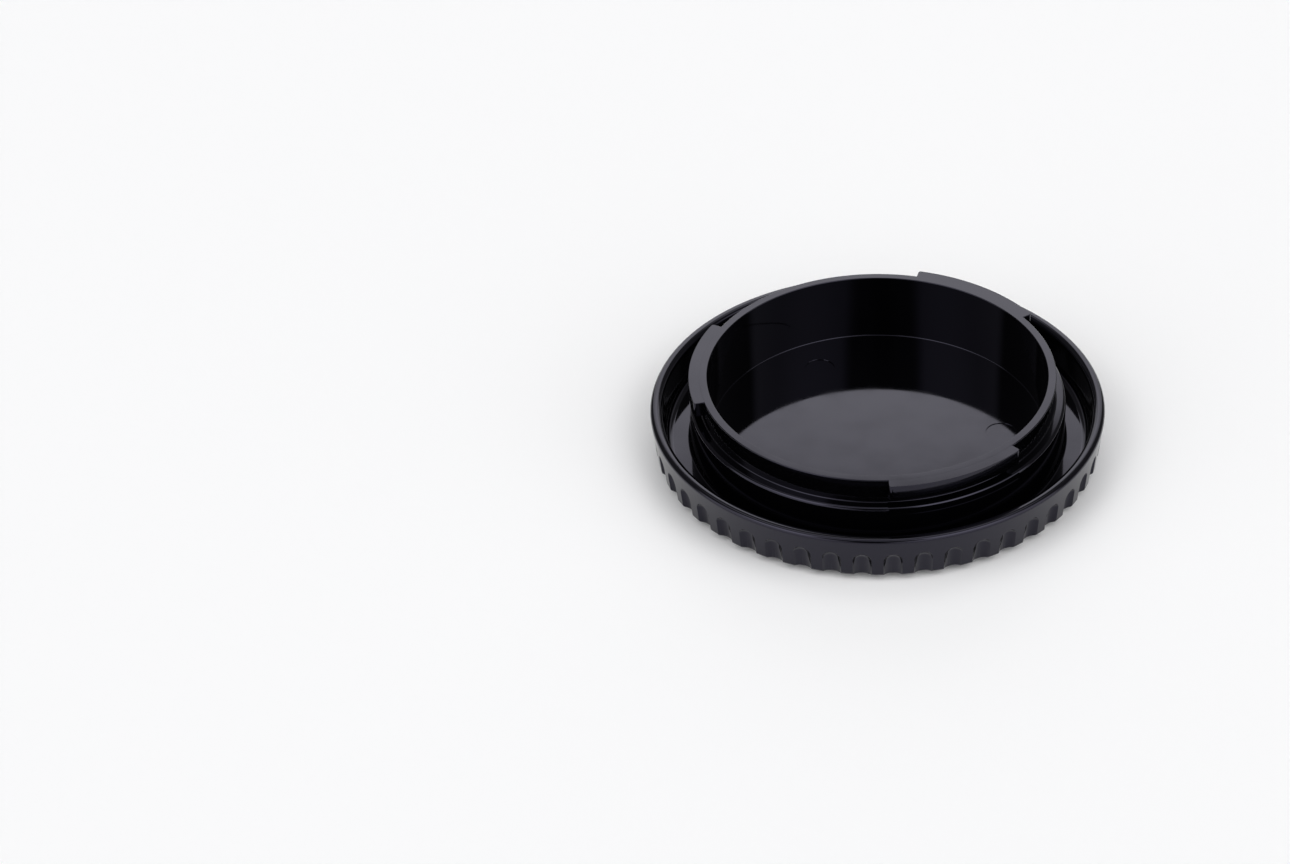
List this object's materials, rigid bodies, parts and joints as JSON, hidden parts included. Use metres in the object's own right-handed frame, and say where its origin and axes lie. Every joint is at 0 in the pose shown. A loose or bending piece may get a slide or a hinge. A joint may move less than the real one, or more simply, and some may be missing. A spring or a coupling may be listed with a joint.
{
  "type": "camera body cap",
  "caption": "Round black plastic body cap with a scooped grip edge, a recessed face, a locating collar and outward bayonet lugs.",
  "frame": {"origin": "on the mount's axis, in the plane of the skirt's open rim, which seats against the camera", "axes": "+Z along the mount's axis into the camera; -Y is the side seen at the front of the picture, with a grip crest centred on it"},
  "size_m": [0.0648, 0.0648, 0.0123],
  "materials": {
    "moulded_abs": "glossy black ABS, as moulded"
  },
  "bodies": {
    "root": {"body_cap": "moulded_abs"}
  },
  "joints": []
}
